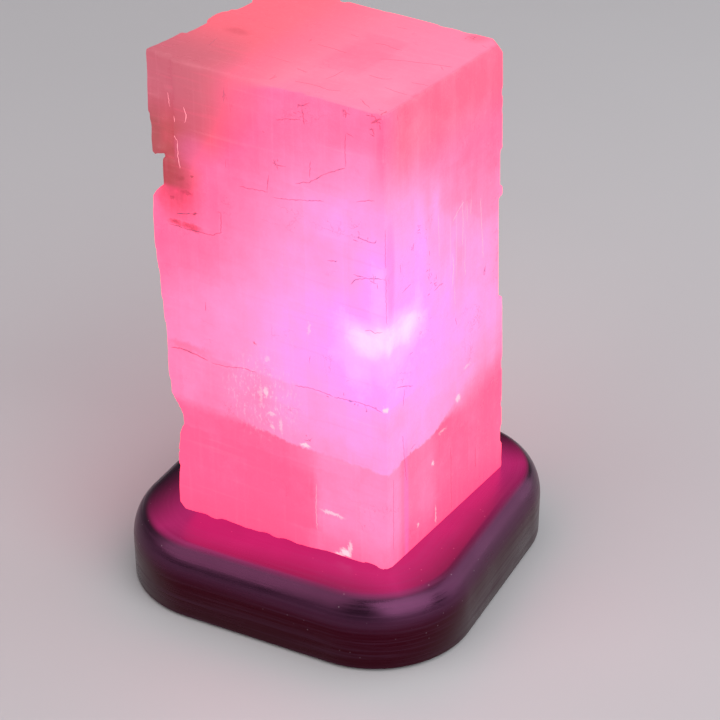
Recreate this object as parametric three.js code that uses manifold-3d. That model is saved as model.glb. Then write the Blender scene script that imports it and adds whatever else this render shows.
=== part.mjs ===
// A cleavage block of manganoan calcite on a low, lit display stand. Millimetres, +Z up.
// The origin is the middle of the stand's underside. The stand's sides run along X and Y,
// and its power inlet faces +Y.
import * as THREE from 'three';
import { mergeVertices } from 'three/addons/utils/BufferGeometryUtils.js';
import Module from 'manifold-3d';

const wasm = await Module();
wasm.setup();

// ---- driving dimensions -------------------------------------------------------------

const fitGap = 0.3; // between pieces that touch or nest

const stand = {
  width: 81,
  height: 17.5,
  cornerRadius: 22.8,
  rimReach: 5, // how far the soft rim runs in over the top
  rimDrop: 7.8, // how far it runs down the side
  wall: 2.2,
  topThickness: 3.2,
  floorClearance: 0.6, // the wall stops this far above the table
};

const lightWindow = { radius: 15.7, thickness: 1.9, ledgeWidth: 2.4, ledgeThickness: 0.9, sunk: 0.1 };
const gripPad = { inset: 3, thickness: 0.8 };
const plate = { thickness: 2 };
const board = { width: 34, front: -17, back: 36.6, thickness: 1.6, underside: 4.6 };
const led = { radius: 2.5, bodyHeight: 4, ringRadius: 8.5, count: 4 };
const post = { radius: 2, x: 13, yFront: -13, yBack: 30 };
const screw = { headRadius: 2.5, headHeight: 1.2, shankRadius: 1.3, shankLength: 8, place: 26 };
const boss = { radius: 3.2, pilotRadius: 1.6, pilotDepth: 8.5 };
const inlet = { width: 8.9, height: 3.2, depth: 7.2, wall: 0.32, cavityDepth: 5.6 };
const inletTongue = { width: 6.6, height: 0.7, depth: 4.6 };

// The block is bounded by three pairs of cleavage faces that meet at about 102 degrees
// in its blunt top corner. Each edge that leaves this corner has a length, a heading
// in plan from +X, and a rise above the level.
const bluntCorner = new THREE.Vector3(11.2, -1.6, 110.5);
const leftEdge = edgeVector(55.4, 183.1, 5.6);
const rightEdge = edgeVector(49, 83.3, 0);
const downEdge = edgeVector(97.2, -60.6, -73.1);

// Stepped bites that broke out along the cleavage planes. u runs along the left edge,
// v along the right edge and w down the near edge, each in mm from the blunt corner.
// A bite is a block between two values of each, and past marks a side outside the crystal.
const past = 140;
const under = -10;
const bites = [
  { u: [54.1, past], v: [under, past], w: [28.2, past] }, // the far left face steps in below the notch
  { u: [53.6, past], v: [under, 4.5], w: [17, 21.8] }, // above the notch, left edge
  { u: [51.5, past], v: [under, 9], w: [21.8, 28.2] }, // the notch itself
  { u: [48.5, past], v: [under, 1.1], w: [under, 21.8] }, // thin flake lost, top left
  { u: [53.1, past], v: [under, 16], w: [39, 52] }, // the left edge goes back in steps
  { u: [52.3, past], v: [under, 20], w: [52, 61] },
  { u: [51.6, past], v: [under, 24], w: [61, 69] },
  { u: [50.6, past], v: [under, 27], w: [69, 75.5] },
  { u: [48.9, past], v: [under, 30], w: [75.5, 79.5] },
  { u: [50, past], v: [under, 30], w: [79.5, past] },
  { u: [under, 6], v: [46.4, past], w: [32, 59] }, // shallow hollow down the right edge
  { u: [under, 22], v: [47.6, past], w: [24, 32] },
  { u: [54, past], v: [13, 22], w: [under, 6] }, // steps along the back of the top
  { u: [53.2, past], v: [30, 38], w: [under, 4] },
  { u: [34, 46], v: [47.6, past], w: [12, 71] }, // slab lost from the back face
  { u: [18, 30], v: [48, past], w: [56, past] },
  { u: [52.8, past], v: [27, 41], w: [22, 58] }, // slab lost from the far left face
];
// The lower left border is undercut: everything below the plane through these points is gone.
const undercut = [
  new THREE.Vector3(25.1, -26.4, 17.8),
  new THREE.Vector3(-33, -15, 17.8),
  new THREE.Vector3(-27, -30.5, 20.9),
];

const materials = {
  calcite: { color: 0xf58ab4, roughness: 0.35, metalness: 0 },
  glossBlack: { color: 0x120b0f, roughness: 0.12, metalness: 0 },
  frosted: { color: 0xf4eef2, roughness: 0.45, metalness: 0 },
  rubber: { color: 0x1a1a1b, roughness: 0.85, metalness: 0 },
  mattBlack: { color: 0x1c1b1d, roughness: 0.6, metalness: 0 },
  circuit: { color: 0xe6e7e2, roughness: 0.5, metalness: 0 },
  diode: { color: 0xffd7ee, roughness: 0.2, metalness: 0 },
  steel: { color: 0xb9bcc0, roughness: 0.3, metalness: 1 },
};

// ---- heights worked out from the driving dimensions ---------------------------------

const plateBottom = gripPad.thickness + fitGap;
const plateTop = plateBottom + plate.thickness;
const bossBottom = plateTop + fitGap;
const boardTop = board.underside + board.thickness;
const ceiling = stand.height - stand.topThickness;
const arcSteps = 14; // facets in each rounded corner
const rimSteps = 7; // facets down the rim

// ---- helpers ------------------------------------------------------------------------

function edgeVector(length, headingDeg, riseDeg) {
  const heading = THREE.MathUtils.degToRad(headingDeg);
  const rise = THREE.MathUtils.degToRad(riseDeg);
  const level = Math.cos(rise) * length;
  return new THREE.Vector3(level * Math.cos(heading), level * Math.sin(heading), length * Math.sin(rise));
}

function positionsOnly(geometry) {
  const bare = geometry.clone();
  bare.deleteAttribute('normal');
  bare.deleteAttribute('uv');
  return mergeVertices(bare, 1e-5);
}

function solid(geometry) {
  const merged = positionsOnly(geometry);
  const vertProperties = new Float32Array(merged.attributes.position.array);
  const triVerts = new Uint32Array(merged.index.array);
  return new wasm.Manifold(new wasm.Mesh({ numProp: 3, vertProperties, triVerts }));
}

function fromSolid(manifold) {
  const mesh = manifold.getMesh();
  const geometry = new THREE.BufferGeometry();
  geometry.setAttribute('position', new THREE.BufferAttribute(new Float32Array(mesh.vertProperties), 3));
  geometry.setIndex(new THREE.BufferAttribute(new Uint32Array(mesh.triVerts), 1));
  geometry.computeVertexNormals();
  return geometry;
}

function piece(name, geometry, look) {
  const mesh = new THREE.Mesh(geometry, new THREE.MeshStandardMaterial(materials[look]));
  mesh.name = name;
  return mesh;
}

// A cylinder that stands on a point, along +Z.
function upright(radius, height, x, y, z, sides = 24) {
  const geometry = new THREE.CylinderGeometry(radius, radius, height, sides);
  geometry.rotateX(Math.PI / 2);
  geometry.translate(x, y, z + height / 2);
  return geometry;
}

function atFourCorners(place, make) {
  const made = [];
  for (const sideX of [-1, 1]) {
    for (const sideY of [-1, 1]) {
      made.push(make(sideX * place, sideY * place, made.length + 1));
    }
  }
  return made;
}

function roundedSquare(half, radius) {
  const straight = half - radius;
  const shape = new THREE.Shape();
  shape.absarc(straight, straight, radius, 0, Math.PI / 2);
  shape.absarc(-straight, straight, radius, Math.PI / 2, Math.PI);
  shape.absarc(-straight, -straight, radius, Math.PI, 1.5 * Math.PI);
  shape.absarc(straight, -straight, radius, 1.5 * Math.PI, 2 * Math.PI);
  return shape;
}

function extruded(shape, thickness, z) {
  const geometry = new THREE.ExtrudeGeometry(shape, {
    depth: thickness,
    bevelEnabled: false,
    curveSegments: arcSteps,
  });
  geometry.translate(0, 0, z);
  return geometry;
}

// ---- the calcite block ----------------------------------------------------------------

function crystalPoint(u, v, w) {
  return bluntCorner
    .clone()
    .addScaledVector(leftEdge, u / leftEdge.length())
    .addScaledVector(rightEdge, v / rightEdge.length())
    .addScaledVector(downEdge, w / downEdge.length());
}

// A solid bounded by cleavage planes, from a unit cube with its corners moved.
function cleavageBox(u, v, w) {
  const geometry = positionsOnly(new THREE.BoxGeometry(1, 1, 1));
  const position = geometry.attributes.position;
  for (let i = 0; i < position.count; i += 1) {
    const corner = crystalPoint(
      u[position.getX(i) > 0 ? 1 : 0],
      v[position.getY(i) > 0 ? 1 : 0],
      w[position.getZ(i) > 0 ? 1 : 0],
    );
    position.setXYZ(i, corner.x, corner.y, corner.z);
  }
  return geometry;
}

// A thick slab whose upper face is the plane through three points.
function slabUnder([a, b, c], size, thickness) {
  const along = b.clone().sub(a).normalize();
  const normal = along.clone().cross(c.clone().sub(a)).normalize();
  if (normal.z < 0) normal.negate();
  const across = normal.clone().cross(along);
  const place = new THREE.Matrix4().makeBasis(along, across, normal);
  place.setPosition(a.clone().addScaledVector(normal, -thickness / 2));
  return new THREE.BoxGeometry(size, size, thickness).applyMatrix4(place);
}

function makeBlock() {
  let block = solid(
    cleavageBox([0, leftEdge.length()], [0, rightEdge.length()], [0, downEdge.length() + 15]),
  );
  for (const bite of bites) {
    block = block.subtract(solid(cleavageBox(bite.u, bite.v, bite.w)));
  }
  block = block.subtract(solid(slabUnder(undercut, 200, 40)));
  const belowStandTop = new THREE.BoxGeometry(300, 300, 60);
  belowStandTop.translate(0, 0, stand.height + fitGap - 30);
  block = block.subtract(solid(belowStandTop));
  return piece('calcite_block', fromSolid(block), 'calcite');
}

// ---- the stand ------------------------------------------------------------------------

// One level outline of the stand: a square with round corners, which is a circle
// when the corner radius equals the half width.
function levelOutline({ half, corner, z }) {
  const points = [];
  for (let quarter = 0; quarter < 4; quarter += 1) {
    const middle = (quarter + 0.5) * (Math.PI / 2);
    const centreX = Math.sign(Math.cos(middle)) * (half - corner);
    const centreY = Math.sign(Math.sin(middle)) * (half - corner);
    for (let step = 0; step <= arcSteps; step += 1) {
      const angle = (quarter + step / arcSteps) * (Math.PI / 2);
      points.push([centreX + corner * Math.cos(angle), centreY + corner * Math.sin(angle), z]);
    }
  }
  return points;
}

// Skins a closed run of level outlines. The last one joins the first.
function ringLoft(levels) {
  const rings = levels.map(levelOutline);
  const perRing = rings[0].length;
  const index = [];
  rings.forEach((ring, row) => {
    const nextRow = (row + 1) % rings.length;
    for (let i = 0; i < perRing; i += 1) {
      const j = (i + 1) % perRing;
      const a = row * perRing + i;
      const b = row * perRing + j;
      const c = nextRow * perRing + j;
      const d = nextRow * perRing + i;
      index.push(a, b, c, a, c, d);
    }
  });
  const geometry = new THREE.BufferGeometry();
  geometry.setAttribute('position', new THREE.Float32BufferAttribute(rings.flat(2), 3));
  geometry.setIndex(index);
  return geometry;
}

function standLevel(inset, z) {
  return { half: stand.width / 2 - inset, corner: stand.cornerRadius - inset, z };
}

function roundLevel(radius, z) {
  return { half: radius, corner: radius, z };
}

// The rim is a quarter ellipse from the side up on to the top.
function rimLevels(inset, top, reach, drop) {
  const levels = [];
  for (let step = 0; step <= rimSteps; step += 1) {
    const angle = (step / rimSteps) * (Math.PI / 2);
    levels.push(standLevel(inset + reach * (1 - Math.cos(angle)), top - drop * (1 - Math.sin(angle))));
  }
  return levels;
}

function inletShape(margin) {
  const halfHeight = inlet.height / 2 + margin;
  const straight = inlet.width / 2 + margin - halfHeight;
  const shape = new THREE.Shape();
  shape.absarc(straight, 0, halfHeight, -Math.PI / 2, Math.PI / 2);
  shape.absarc(-straight, 0, halfHeight, Math.PI / 2, 1.5 * Math.PI);
  return shape;
}

const inletMiddle = boardTop + fitGap + inlet.height / 2;
const inletMouth = stand.width / 2 - 0.2;

// A prism of a shape drawn in X and Z, from one depth to another along +Y.
function alongDepth(shape, front, back) {
  const geometry = new THREE.ExtrudeGeometry(shape, {
    depth: back - front,
    bevelEnabled: false,
    curveSegments: 10,
  });
  geometry.rotateX(Math.PI / 2);
  geometry.translate(0, back, inletMiddle);
  return geometry;
}

function makeHousing() {
  const recess = lightWindow.radius + fitGap;
  const ledgeTop = ceiling + lightWindow.ledgeThickness;
  const ledgeInner = recess - lightWindow.ledgeWidth;
  const inside = rimLevels(stand.wall, ceiling, stand.rimReach, stand.rimDrop - stand.wall).reverse();
  const levels = [
    standLevel(0, stand.floorClearance),
    ...rimLevels(0, stand.height, stand.rimReach, stand.rimDrop),
    roundLevel(recess, stand.height),
    roundLevel(recess, ledgeTop),
    roundLevel(ledgeInner, ledgeTop),
    roundLevel(ledgeInner, ceiling),
    ...inside,
    standLevel(stand.wall, stand.floorClearance),
  ];
  let housing = solid(ringLoft(levels));
  const bury = 0.6; // how far each boss runs into the top
  for (const screwBoss of atFourCorners(screw.place, (x, y) =>
    upright(boss.radius, ceiling + bury - bossBottom, x, y, bossBottom),
  )) {
    housing = housing.add(solid(screwBoss));
  }
  for (const pilot of atFourCorners(screw.place, (x, y) =>
    upright(boss.pilotRadius, boss.pilotDepth + 1, x, y, bossBottom - 1, 16),
  )) {
    housing = housing.subtract(solid(pilot));
  }
  const inletSlot = alongDepth(inletShape(fitGap), stand.width / 2 - 3 * stand.wall, stand.width / 2 + 1);
  housing = housing.subtract(solid(inletSlot));
  return piece('stand_housing', fromSolid(housing), 'glossBlack');
}

function makeLightWindow() {
  const top = stand.height - lightWindow.sunk;
  const disc = upright(lightWindow.radius, lightWindow.thickness, 0, 0, top - lightWindow.thickness, 48);
  return piece('light_window', disc, 'frosted');
}

function makeBottomPlate() {
  const inset = stand.wall + fitGap;
  const outline = roundedSquare(stand.width / 2 - inset, stand.cornerRadius - inset);
  let sheet = solid(extruded(outline, plate.thickness, plateBottom));
  atFourCorners(screw.place, (x, y) => {
    const clearHole = upright(screw.shankRadius + fitGap, 2 * plate.thickness, x, y, plateBottom - 1, 16);
    const headRecess = upright(screw.headRadius + fitGap, screw.headHeight + 1 + fitGap, x, y, plateBottom - 1);
    sheet = sheet.subtract(solid(clearHole)).subtract(solid(headRecess));
  });
  const postHeight = board.underside - fitGap - plateTop;
  for (const x of [-post.x, post.x]) {
    for (const y of [post.yFront, post.yBack]) {
      const standoff = upright(post.radius, postHeight + 1, x, y, plateTop - 1, 20);
      sheet = sheet.add(solid(standoff));
    }
  }
  return piece('bottom_plate', fromSolid(sheet), 'mattBlack');
}

function makeGripPad() {
  const outline = roundedSquare(stand.width / 2 - gripPad.inset, stand.cornerRadius - gripPad.inset);
  return piece('grip_pad', extruded(outline, gripPad.thickness, 0), 'rubber');
}

function makePlateScrews() {
  return atFourCorners(screw.place, (x, y, number) => {
    const head = solid(upright(screw.headRadius, screw.headHeight, x, y, plateBottom + 0.1));
    const shank = solid(upright(screw.shankRadius, screw.shankLength, x, y, plateBottom + 0.5, 16));
    return piece(`plate_screw_${number}`, fromSolid(head.add(shank)), 'steel');
  });
}

function makeLedBoard() {
  const length = board.back - board.front;
  const sheet = new THREE.BoxGeometry(board.width, length, board.thickness);
  sheet.translate(0, board.front + length / 2, board.underside + board.thickness / 2);
  return piece('led_board', sheet, 'circuit');
}

function makeLeds() {
  const made = [];
  for (let number = 0; number < led.count; number += 1) {
    const angle = ((number + 0.5) / led.count) * 2 * Math.PI;
    const profile = [new THREE.Vector2(0, 0), new THREE.Vector2(led.radius, 0)];
    const domeSteps = 6;
    for (let step = 0; step < domeSteps; step += 1) {
      const rise = (step / domeSteps) * (Math.PI / 2);
      profile.push(
        new THREE.Vector2(led.radius * Math.cos(rise), led.bodyHeight + led.radius * Math.sin(rise)),
      );
    }
    profile.push(new THREE.Vector2(0, led.bodyHeight + led.radius));
    const lamp = new THREE.LatheGeometry(profile, 20);
    lamp.rotateX(Math.PI / 2);
    const x = led.ringRadius * Math.cos(angle);
    const y = led.ringRadius * Math.sin(angle);
    lamp.translate(x, y, boardTop + fitGap);
    made.push(piece(`led_${number + 1}`, positionsOnly(lamp), 'diode'));
  }
  return made;
}

function makePowerInlet() {
  const shellFront = inletMouth - inlet.depth;
  const cavityFront = inletMouth - inlet.cavityDepth;
  const shell = solid(alongDepth(inletShape(0), shellFront, inletMouth));
  const cavity = solid(alongDepth(inletShape(-inlet.wall), cavityFront, inletMouth + 1));
  const bury = 0.5; // the tongue is rooted this far in the back wall
  const tongue = new THREE.BoxGeometry(inletTongue.width, inletTongue.depth + bury, inletTongue.height);
  tongue.translate(0, cavityFront + (inletTongue.depth - bury) / 2, inletMiddle);
  return piece('power_inlet', fromSolid(shell.subtract(cavity).add(solid(tongue))), 'steel');
}

// ---- the whole specimen -----------------------------------------------------------------

const specimen = new THREE.Group();
specimen.add(
  makeBlock(),
  makeHousing(),
  makeLightWindow(),
  makeBottomPlate(),
  makeGripPad(),
  makeLedBoard(),
  makePowerInlet(),
  ...makePlateScrews(),
  ...makeLeds(),
);

export default specimen;
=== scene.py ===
import bmesh
import bpy
import math
import numpy as np
from mathutils import Matrix, Vector
from mathutils.bvhtree import BVHTree


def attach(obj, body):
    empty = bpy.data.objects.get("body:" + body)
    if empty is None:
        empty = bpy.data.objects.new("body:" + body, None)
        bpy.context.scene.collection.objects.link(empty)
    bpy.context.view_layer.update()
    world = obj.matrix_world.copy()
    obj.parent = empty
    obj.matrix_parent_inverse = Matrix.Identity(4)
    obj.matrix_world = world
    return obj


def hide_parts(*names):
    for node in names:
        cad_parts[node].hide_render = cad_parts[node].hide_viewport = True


# a pink calcite cleavage block, lit from below, on its glossy black stand
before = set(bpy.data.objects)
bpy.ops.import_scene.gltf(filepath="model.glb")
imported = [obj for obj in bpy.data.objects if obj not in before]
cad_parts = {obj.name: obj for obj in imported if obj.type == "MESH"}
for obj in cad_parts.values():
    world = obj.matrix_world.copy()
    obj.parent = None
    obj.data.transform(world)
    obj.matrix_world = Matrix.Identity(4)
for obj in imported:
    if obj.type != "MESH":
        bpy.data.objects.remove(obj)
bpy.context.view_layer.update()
mm = 0.001  # everything is in metres and sits where the loaded frame says


def direction(headingDeg, riseDeg):
    # a unit vector; heading 0 is +X and 90 is +Y
    heading = math.radians(headingDeg)
    rise = math.radians(riseDeg)
    level = math.cos(rise)
    return Vector((level * math.cos(heading), level * math.sin(heading), math.sin(rise)))


def linear(hexColour):
    # a web colour as the linear values Blender mixes with
    channels = [int(hexColour[i:i + 2], 16) / 255 for i in (0, 2, 4)]
    return tuple(c / 12.92 if c <= 0.04045 else ((c + 0.055) / 1.055) ** 2.4 for c in channels)


def addMesh(name, vertices, faces, smooth=True):
    mesh = bpy.data.meshes.new(name)
    mesh.from_pydata([tuple(v) for v in vertices], [], [tuple(f) for f in faces])
    mesh.update()
    mesh.validate()
    for polygon in mesh.polygons:
        polygon.use_smooth = smooth
    piece = bpy.data.objects.new(name, mesh)
    bpy.context.scene.collection.objects.link(piece)
    return piece


class Reading:
    # what a node gives; where it is a number, the signs + - * / wire the next node
    def __init__(self, wiring, socket):
        self.wiring = wiring
        self.socket = socket

    def __add__(self, other):
        return self.wiring.math("ADD", self, other)

    def __radd__(self, other):
        return self.wiring.math("ADD", other, self)

    def __sub__(self, other):
        return self.wiring.math("SUBTRACT", self, other)

    def __rsub__(self, other):
        return self.wiring.math("SUBTRACT", other, self)

    def __mul__(self, other):
        return self.wiring.math("MULTIPLY", self, other)

    def __truediv__(self, other):
        return self.wiring.math("DIVIDE", self, other)


class Wiring:
    # puts nodes into one material and joins them, so a material reads as a recipe
    def __init__(self, name):
        self.material = bpy.data.materials.new(name)
        self.material.use_nodes = True
        self.tree = self.material.node_tree
        self.tree.nodes.clear()
        self.shader = self.tree.nodes.new("ShaderNodeBsdfPrincipled")
        output = self.tree.nodes.new("ShaderNodeOutputMaterial")
        self.tree.links.new(self.shader.outputs["BSDF"], output.inputs["Surface"])

    def feed(self, socket, value):
        if isinstance(value, Reading):
            self.tree.links.new(value.socket, socket)
        elif isinstance(value, str):
            socket.default_value = (*linear(value), 1)
        elif socket.type == "RGBA":
            socket.default_value = (*value, 1)
        else:
            socket.default_value = value

    def node(self, kind, output, inputs=None, **settings):
        made = self.tree.nodes.new("ShaderNode" + kind)
        for key, value in settings.items():
            setattr(made, key, value)
        for key, value in (inputs or {}).items():
            self.feed(made.inputs[key], value)
        return Reading(self, made.outputs[output])

    def math(self, operation, a, b=0, clamp=False):
        return self.node("Math", 0, {0: a, 1: b}, operation=operation, use_clamp=clamp)

    def vector(self, operation, *values, output="Vector"):
        return self.node("VectorMath", output, dict(enumerate(values)), operation=operation)

    def blend(self, factor, a, b, how="MIX"):
        return self.node("Mix", 2, {0: factor, 6: a, 7: b},
                         data_type="RGBA", blend_type=how, clamp_factor=True)

    def blendNumber(self, factor, a, b):
        return self.node("Mix", 0, {0: factor, 2: a, 3: b}, data_type="FLOAT", clamp_factor=True)

    def step(self, value, start, end, low=0, high=1):
        # eases from low to high while value goes from start to end
        return self.node("MapRange", "Result", {
            "Value": value, "From Min": start, "From Max": end, "To Min": low, "To Max": high,
        }, interpolation_type="SMOOTHSTEP")

    def noise(self, vector, scale, detail=3, roughness=0.55):
        return self.node("TexNoise", "Fac", {
            "Vector": vector, "Scale": scale, "Detail": detail, "Roughness": roughness,
        })

    def swirled(self, base, lattice, scale, detail, size):
        # the base pushed about at random, by up to size
        swirl = self.node("TexNoise", "Color", {"Vector": lattice, "Scale": scale, "Detail": detail})
        return self.vector("MULTIPLY_ADD", swirl, (size, size, size), base)

    def stretch(self, vector, x, y, z):
        return self.vector("MULTIPLY", vector, (x, y, z))

    def placeInMm(self):
        return self.stretch(self.node("TexCoord", "Object"), 1 / mm, 1 / mm, 1 / mm)

    def curve(self, value, points):
        # a drawn curve through (input, output) points, both from 0 to 1
        drawn = self.node("FloatCurve", 0, {"Value": value})
        mapping = drawn.socket.node.mapping
        line = mapping.curves[0]
        for spot, (x, y) in enumerate(points):
            if spot < 2:
                line.points[spot].location = (x, y)
            else:
                line.points.new(x, y)
        for point in line.points:
            point.handle_type = "VECTOR"
        mapping.update()
        return drawn

    def patch(self, vector, oval, soft, shift=0):
        # 1 inside an oval, 0 outside; the oval is its centre and then its half sizes
        centre, size = oval[:3], oval[3:]
        shifted = tuple(-(c + shift) / s for c, s in zip(centre, size))
        scaled = self.vector("MULTIPLY_ADD", vector, tuple(1 / s for s in size), shifted)
        away = self.vector("LENGTH", scaled, output="Value")
        return self.step(away, 1 - soft, 1 + soft, 1, 0)

    def ramp(self, value, stops):
        made = self.node("ValToRGB", "Color", {"Fac": value})
        scale = made.socket.node.color_ramp
        while len(scale.elements) < len(stops):
            scale.elements.new(0.5)
        for element, (place, colour) in zip(scale.elements, stops):
            element.position = place
            element.color = (*linear(colour), 1)
        return made

    def bump(self, height, strength, distance, under=None):
        inputs = {"Height": height, "Strength": strength, "Distance": distance}
        if under is not None:
            inputs["Normal"] = under
        return self.node("Bump", "Normal", inputs)

    def finish(self, values):
        for key, value in values.items():
            self.feed(self.shader.inputs[key], value)
        return self.material


# heading 0 looks along +Y, and the pitch is how far up the viewer is
view = {
    "heading": 26.68, "pitch": 30.65, "distance": 0.4683, "lens": 100.74,
    "aim": (-5.65 * mm, 21.45 * mm, 36.61 * mm),
}


def aimObject(name, data, aim, distance, look):
    # puts a camera or lamp at its distance from the aim, turned towards it
    made = bpy.data.objects.new(name, data)
    back = direction(look["heading"] - 90, look["pitch"])
    made.location = Vector(aim) + back * distance
    made.rotation_euler = back.to_track_quat("Z", "Y").to_euler()
    bpy.context.scene.collection.objects.link(made)
    return made


def placeCamera():
    data = bpy.data.cameras.new("camera")
    data.lens = view["lens"]
    data.sensor_width = 36
    data.clip_start = 0.01
    data.clip_end = 20
    bpy.context.scene.camera = aimObject("camera", data, view["aim"], view["distance"], view)


# heading and pitch are as seen from the lamps' aim; sizes in metres, power in watts
lampAim = (0, 0, 0.05)
lampDistance = 1.3
lamps = {
    "topSoftbox": {"heading": 205, "pitch": 84, "size": 1.5, "power": 6.2, "colour": (0.98, 0.95, 1)},
    "frontSoftbox": {"heading": 62, "pitch": 34, "size": 1.35, "power": 13, "colour": (0.96, 0.97, 1)},
    "sideSoftbox": {"heading": 130, "pitch": 20, "size": 1.25, "power": 7, "colour": (0.95, 0.96, 1)},
    "leftSoftbox": {"heading": -42, "pitch": 36, "size": 1.2, "power": 6, "colour": (1, 0.88, 0.9)},
}


def placeLamps():
    for name, lamp in lamps.items():
        data = bpy.data.lights.new(name, "AREA")
        data.shape = "SQUARE"
        data.size = lamp["size"]
        data.energy = lamp["power"]
        data.color = lamp["colour"]
        aimObject(name, data, lampAim, lampDistance, lamp).visible_camera = False


studio = {"skyColour": (0.7, 0.7, 0.74), "skyStrength": 0.22, "floorSize": 14,
          "floorDark": (0.53, 0.525, 0.525), "floorLight": (0.57, 0.565, 0.565),
          "floorRoughness": 0.55}


def setStudio():
    world = bpy.data.worlds.new("studio")
    world.use_nodes = True
    sky = world.node_tree.nodes["Background"]
    sky.inputs["Color"].default_value = (*studio["skyColour"], 1)
    sky.inputs["Strength"].default_value = studio["skyStrength"]
    scene = bpy.context.scene
    scene.world = world
    scene.view_settings.view_transform = "Standard"
    half = studio["floorSize"] / 2
    corners = [(-half, -half, 0), (half, -half, 0), (half, half, 0), (-half, half, 0)]
    floor = addMesh("floor", corners, [(0, 1, 2, 3)], smooth=False)
    paint = Wiring("paleFloor")
    cloud = paint.noise(paint.node("TexCoord", "Object"), 6, 4)
    paint.finish({"Base Color": paint.blend(cloud, studio["floorDark"], studio["floorLight"]),
                  "Roughness": studio["floorRoughness"]})
    floor.data.materials.append(paint.material)


placeCamera()
placeLamps()
setStudio()
print("camera, light and floor are set")


# three cleavage directions leave the blunt top corner; u, v and w are mm along them
stone = {
    "corner": Vector((11.2, -1.6, 110.5)),
    "left": direction(183.1, 5.6), "leftLength": 55.4,
    "right": direction(83.3, 0), "rightLength": 49,
    "down": direction(-60.6, -73.1), "downLength": 106,
    "footHeight": 17.52,  # the top of the stand, with a hair of room
    "pitch": 0.56,  # grain of the mesh, mm
    "sharpFrom": 38,  # degrees between two faces that meet in a crisp edge
    "seed": 11,
}
cleavage = ("left", "right", "down")
past = 140
under = -10

# blocks that broke out along the cleavage: from and to in u, v and w
stoneBites = [
    ((54.1, past), (under, past), (28.2, past)),
    ((54.7, past), (under, 4.5), (15.5, 21.8)),
    ((51.5, past), (under, 9), (21.8, 28.2)),
    ((48.5, past), (under, 1.1), (under, 21.8)),
    ((under, 6), (47, past), (34, 57)),
    ((under, 22), (47.6, past), (24, 32)),
    ((54, past), (13, 22), (under, 6)),
    ((53.2, past), (30, 38), (under, 4)),
    ((34, 46), (47.6, past), (12, 71)),
    ((18, 30), (48, past), (56, past)),
    ((52.8, past), (27, 41), (22, 58)),
]
# how far the far left face reaches at the front, as (w, u); it eases out towards the back
stoneLeftBorder = [
    (0, 55.4), (27.5, 55.4), (28.2, 52.2), (29, 53.1), (30.5, 54.1), (32.5, 54.7), (35, 55.05),
    (38, 54.95), (40, 54.2), (43.5, 54.1), (45, 53.5), (52, 52.9), (56, 52.5), (60.5, 51.9),
    (65, 52.2), (69, 51.9), (73.5, 51.3), (75, 50.1), (76.5, 49.2), (79.5, 48.6), (81, 49.4),
    (84, 50), (97, 50.4), (110, 50.4),
]
# the plane below which the lower left border is gone
stoneUndercut = [(25.1, -26.4, 17.8), (-33, -15, 17.8), (-27, -30.5, 20.9)]
# turn how far a cut reaches in past an edge or a corner into about mm of depth
edgeScale = 0.7
cornerScale = 0.58


def cloudOver(rng, first, second, cell):
    # a smooth random sheet over two axes, in about -1 to 1; cell is its grain in mm
    spans = [max(2, int((axis[-1] - axis[0]) / cell) + 3) for axis in (first, second)]
    dots = rng.uniform(-1, 1, spans)

    def weights(axis, count):
        place = (axis - axis[0]) / cell
        whole = np.clip(place.astype(int), 0, count - 2)
        part = np.clip(place - whole, 0, 1)
        return whole, part * part * (3 - 2 * part)

    i, s = weights(first, spans[0])
    j, t = weights(second, spans[1])
    top = dots[np.ix_(i, j)] * (1 - t) + dots[np.ix_(i, j + 1)] * t
    bottom = dots[np.ix_(i + 1, j)] * (1 - t) + dots[np.ix_(i + 1, j + 1)] * t
    return top * (1 - s)[:, None] + bottom * s[:, None]


def terraces(rng, first, second, count, deepest):
    # how far a cleavage face steps in: flat plates with ragged, lattice-aligned borders
    depth = np.zeros((len(first), len(second)))
    ragged = cloudOver(rng, first, second, 3.5) + 0.5 * cloudOver(rng, first, second, 1.4)
    for _ in range(count):
        middle = (rng.uniform(first[0], first[-1]), rng.uniform(second[0], second[-1]))
        half = (rng.uniform(0.04, 0.3) * np.ptp(first), rng.uniform(0.03, 0.3) * np.ptp(second))
        fray = rng.uniform(0.3, 1.6)
        inFirst = np.abs(first[:, None] - middle[0]) < half[0] + fray * ragged
        inSecond = np.abs(second[None, :] - middle[1]) < half[1] + fray * ragged
        depth += np.where(inFirst & inSecond, rng.uniform(0.15, 1) * deepest, 0)
    return np.minimum(depth, 2.2 * deepest)


def nicks(rng, axis, wear, count, deepest):
    # how much is gone along an edge: light wear with a few sudden chips
    knots = np.arange(axis[0], axis[-1] + 4, 4)
    gone = wear * np.interp(axis, knots, rng.uniform(0.5, 1.5, len(knots)))
    for _ in range(count):
        middle = rng.uniform(axis[0], axis[-1])
        half = rng.uniform(0.5, 3.2)
        depth = deepest * rng.uniform(0.25, 1) ** 2
        fall = np.clip(1 - np.abs(axis - middle) / half, 0, 1)
        gone = np.maximum(gone, depth * np.minimum(1, fall * rng.uniform(1.2, 4)))
    return gone


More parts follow.
